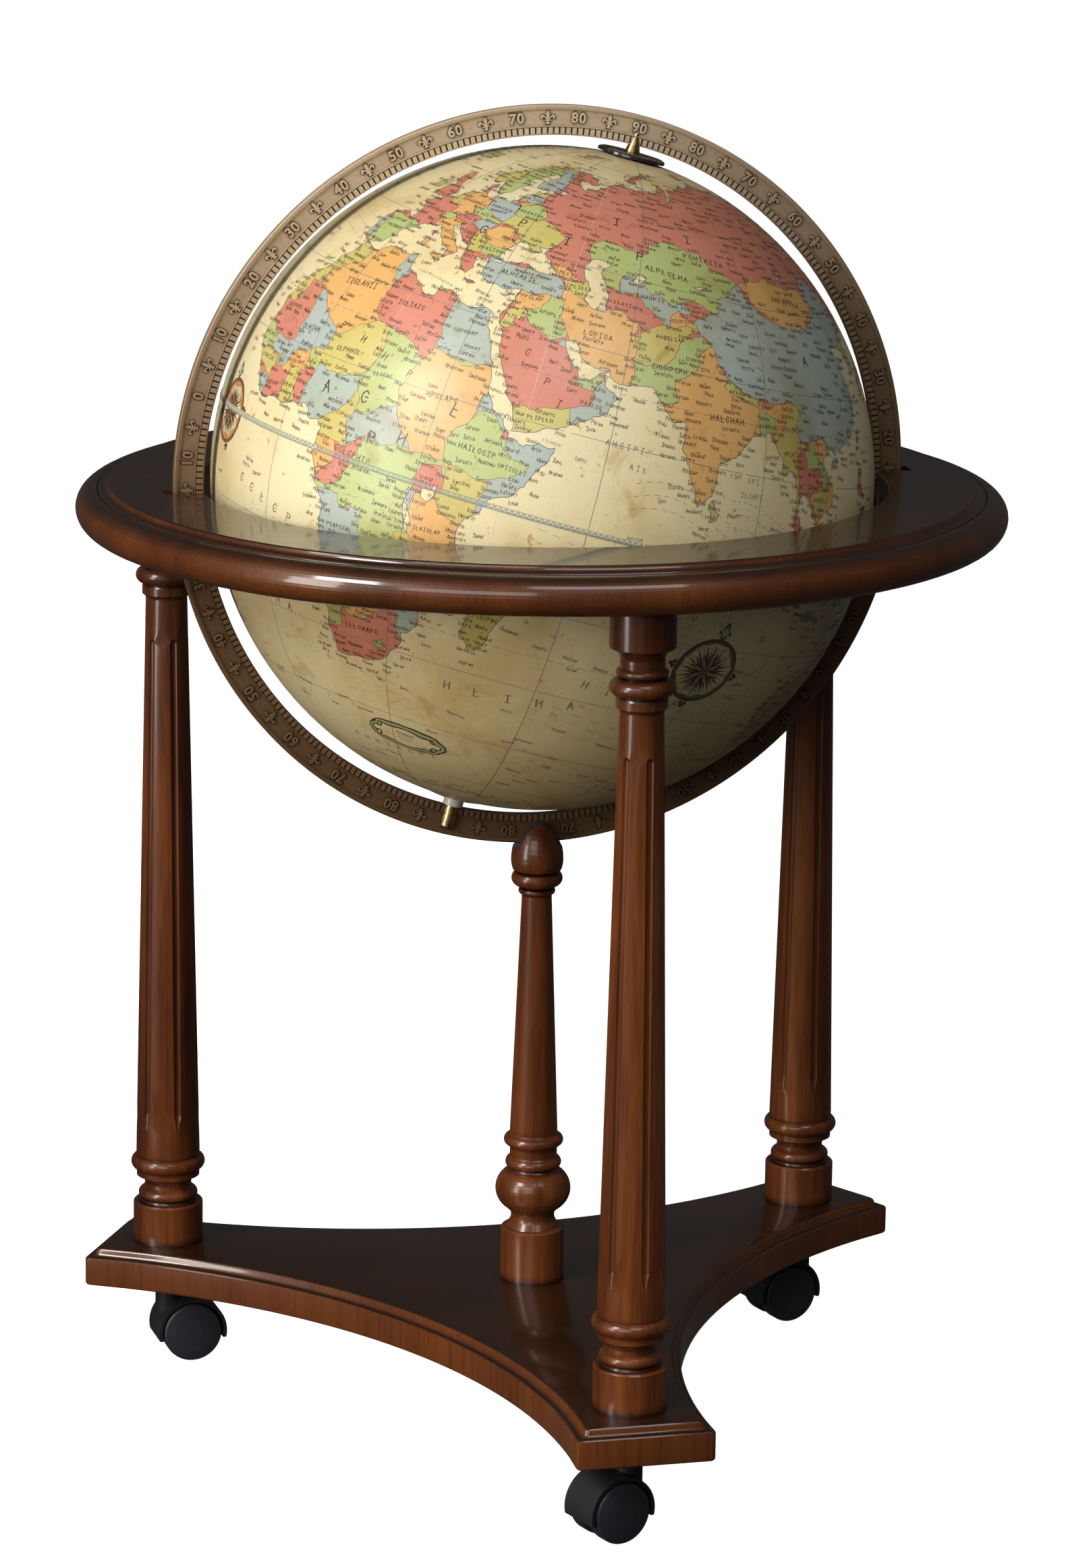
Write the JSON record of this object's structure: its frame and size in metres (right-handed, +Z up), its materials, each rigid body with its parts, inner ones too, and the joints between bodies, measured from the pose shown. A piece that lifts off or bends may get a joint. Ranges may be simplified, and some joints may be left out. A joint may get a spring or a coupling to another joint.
{
  "type": "floor-standing globe",
  "caption": "Terrestrial globe in a full meridian ring, cradled by a wooden horizon ring on fluted turned legs with a concave-sided base on casters.",
  "frame": {"origin": "on the floor, straight below the centre of the ball, where the stand's vertical axis meets the plane the wheels rest on", "axes": "+Z up, -Y towards the front leg and the graduated face of the meridian ring, +X the side the north pole leans to"},
  "size_m": [0.5705, 0.5718, 0.8226],
  "materials": {
    "stained_wood": "dark stained hardwood under satin-gloss lacquer",
    "plain_wood": "unfinished bent wood strip",
    "black_felt": "pressed wool felt",
    "steel": "zinc-plated steel",
    "cast_bronze": "cast, antiqued and polished on the high parts",
    "brass": "turned and lacquered",
    "black_gloss_plastic": "glossy, almost black",
    "printed_map": "printed paper gores on fibreboard under clear gloss varnish",
    "white_plastic": "off-white moulded plastic",
    "black_plastic": "fine-textured moulded nylon",
    "wheel_plastic": "smooth moulded nylon"
  },
  "bodies": {
    "stand": {"base_plate": "stained_wood", "leg_front": "stained_wood", "leg_right": "stained_wood", "leg_left": "stained_wood", "centre_spindle": "stained_wood", "horizon_ring": "stained_wood", "cradle_felt": "black_felt", "notch_felts": "black_felt", "leg_screws": "steel", "ring_bolts": "steel", "spindle_bolt": "steel", "spindle_washer": "steel", "caster_sockets": "steel"},
    "meridian": {"meridian_ring": "cast_bronze", "north_pivot_cone": "brass", "north_pivot_pin": "steel", "south_pivot_stud": "brass", "south_pivot_pin": "steel"},
    "dial": {"time_dial": "black_gloss_plastic"},
    "ball": {"north_hemisphere": "printed_map", "south_hemisphere": "printed_map", "equator_tape": "printed_map", "joining_hoop": "plain_wood", "north_bushing": "white_plastic", "south_spacer": "white_plastic", "south_cap": "white_plastic"},
    "caster_front": {"caster_front_hood": "black_plastic", "caster_front_stem": "steel", "caster_front_axle": "steel"},
    "wheel_front_a": {"caster_front_wheel_a": "wheel_plastic"},
    "wheel_front_b": {"caster_front_wheel_b": "wheel_plastic"},
    "caster_right": {"caster_right_hood": "black_plastic", "caster_right_stem": "steel", "caster_right_axle": "steel"},
    "wheel_right_a": {"caster_right_wheel_a": "wheel_plastic"},
    "wheel_right_b": {"caster_right_wheel_b": "wheel_plastic"},
    "caster_left": {"caster_left_hood": "black_plastic", "caster_left_stem": "steel", "caster_left_axle": "steel"},
    "wheel_left_a": {"caster_left_wheel_a": "wheel_plastic"},
    "wheel_left_b": {"caster_left_wheel_b": "wheel_plastic"}
  },
  "joints": [
    {"name": "meridian_tilt", "type": "hinge", "parent": "stand", "child": "meridian", "pos_m": [0, 0, 0.5933], "axis": [0, 1, 0], "continuous": true},
    {"name": "globe_spin", "type": "hinge", "parent": "meridian", "child": "ball", "pos_m": [0, 0, 0.5933], "axis": [0.2588, 0, 0.9659], "continuous": true},
    {"name": "dial_turn", "type": "hinge", "parent": "meridian", "child": "dial", "pos_m": [0, 0, 0.5933], "axis": [0.2588, 0, 0.9659], "continuous": true},
    {"name": "swivel_front", "type": "hinge", "parent": "stand", "child": "caster_front", "pos_m": [0, -0.2445, 0.056], "axis": [0, 0, 1], "continuous": true},
    {"name": "roll_front_a", "type": "hinge", "parent": "caster_front", "child": "wheel_front_a", "pos_m": [-0.01229, -0.24873, 0.019], "axis": [0.3256, -0.9455, 0], "continuous": true},
    {"name": "roll_front_b", "type": "hinge", "parent": "caster_front", "child": "wheel_front_b", "pos_m": [-0.01229, -0.24873, 0.019], "axis": [0.3256, -0.9455, 0], "continuous": true},
    {"name": "swivel_right", "type": "hinge", "parent": "stand", "child": "caster_right", "pos_m": [0.21174, 0.12225, 0.056], "axis": [0, 0, 1], "continuous": true},
    {"name": "roll_right_a", "type": "hinge", "parent": "caster_right", "child": "wheel_right_a", "pos_m": [0.19925, 0.11867, 0.019], "axis": [0.2756, -0.9613, 0], "continuous": true},
    {"name": "roll_right_b", "type": "hinge", "parent": "caster_right", "child": "wheel_right_b", "pos_m": [0.19925, 0.11867, 0.019], "axis": [0.2756, -0.9613, 0], "continuous": true},
    {"name": "swivel_left", "type": "hinge", "parent": "stand", "child": "caster_left", "pos_m": [-0.21174, 0.12225, 0.056], "axis": [0, 0, 1], "continuous": true},
    {"name": "roll_left_a", "type": "hinge", "parent": "caster_left", "child": "wheel_left_a", "pos_m": [-0.19876, 0.12293, 0.019], "axis": [-0.0523, 0.9986, 0], "continuous": true},
    {"name": "roll_left_b", "type": "hinge", "parent": "caster_left", "child": "wheel_left_b", "pos_m": [-0.19876, 0.12293, 0.019], "axis": [-0.0523, 0.9986, 0], "continuous": true}
  ]
}
